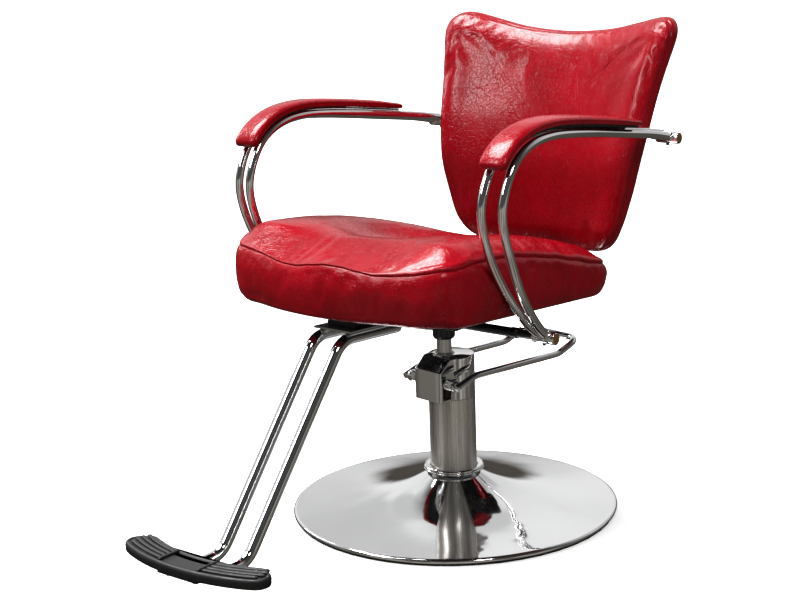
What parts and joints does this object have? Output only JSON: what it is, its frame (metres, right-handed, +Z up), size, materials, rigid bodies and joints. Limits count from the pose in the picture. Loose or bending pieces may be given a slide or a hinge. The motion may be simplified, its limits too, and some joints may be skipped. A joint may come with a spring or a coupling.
{
  "type": "styling chair",
  "caption": "Hydraulic styling chair with a round chrome base, foot pump, dished seat, winged back, tubular arms with pads and a T-shaped footrest.",
  "frame": {"origin": "centre of the round base on the floor", "axes": "+Z up, the sitter faces -Y, +X is the sitter's left side"},
  "size_m": [0.6106, 1.1469, 0.893],
  "materials": {
    "red_leatherette": "glossy crackle-grain leatherette",
    "chrome": "mirror",
    "brushed_steel": "brushed lengthwise",
    "cast_iron": "as cast, painted dark",
    "black_paint": "semi-gloss black",
    "black_rubber": "matte",
    "black_plastic": "matte moulded",
    "plywood": "raw plywood"
  },
  "bodies": {
    "base": {"base_plate": "cast_iron", "floor_ring": "black_rubber", "base_shell": "chrome", "ring_collar": "chrome", "pump_flange": "cast_iron", "pump_cylinder": "brushed_steel", "oil_cylinder": "brushed_steel", "pump_head": "cast_iron", "head_cover": "chrome", "ram_gland": "brushed_steel", "shaft_bearing_left": "cast_iron", "shaft_bearing_right": "cast_iron", "plunger_guide": "cast_iron"},
    "pedal": {"pedal_shaft": "brushed_steel", "pump_cam": "brushed_steel", "pedal_boss_left": "chrome", "pedal_boss_right": "chrome", "pedal_rod": "chrome", "pedal_return_spring": "brushed_steel"},
    "plunger": {"pump_plunger": "brushed_steel"},
    "lift": {"piston": "brushed_steel"},
    "swivel": {"arm_pad_base_left": "black_paint", "arm_pad_base_right": "black_paint", "arm_pad_left": "red_leatherette", "arm_pad_right": "red_leatherette", "arm_tube_left_inner": "chrome", "arm_tube_left_outer": "chrome", "arm_tube_right_inner": "chrome", "arm_tube_right_outer": "chrome", "back_board": "plywood", "back_bracket_left": "black_paint", "back_bracket_right": "black_paint", "back_cushion": "red_leatherette", "back_rear_cover": "red_leatherette", "back_strap": "black_paint", "bar_clamp_left": "black_paint", "bar_clamp_right": "black_paint", "foot_plate": "black_plastic", "foot_plate_screw_left": "black_paint", "foot_plate_screw_right": "black_paint", "foot_plate_tongue": "black_paint", "footrest_bridge": "chrome", "footrest_mount": "black_paint", "footrest_tube_left": "chrome", "footrest_tube_right": "chrome", "lower_cross_bar": "black_paint", "lower_set_screw_left": "black_paint", "lower_set_screw_right": "black_paint", "lower_sleeve_left": "chrome", "lower_sleeve_right": "chrome", "ram": "brushed_steel", "seat_board": "black_paint", "seat_cushion": "red_leatherette", "seat_plate": "black_paint", "seat_socket": "black_paint", "upper_cross_bar": "black_paint", "upper_set_screw_left": "black_paint", "upper_set_screw_right": "black_paint", "upper_sleeve_left": "chrome", "upper_sleeve_right": "chrome"}
  },
  "joints": [
    {"name": "lift", "type": "slide", "parent": "base", "child": "lift", "axis": [0, 0, 1], "range_m": [0, 0.15]},
    {"name": "swivel", "type": "hinge", "parent": "lift", "child": "swivel", "pos_m": [-0.00231, -0.01644, 0.3], "axis": [0, 0, 1], "continuous": true},
    {"name": "pedal", "type": "hinge", "parent": "base", "child": "pedal", "pos_m": [-0.00647, -0.04605, 0.257], "axis": [-0.9903, 0.1392, 0], "range_deg": [0, 20], "stiffness_Nm_per_rad": 5, "springref_deg": -28.65},
    {"name": "plunger", "type": "slide", "parent": "base", "child": "plunger", "axis": [0, 0, -1], "range_m": [0, 0.0026]}
  ],
  "couplings": [
    {"joint": "plunger", "follows": "pedal", "m_per_rad": 0.0074}
  ]
}
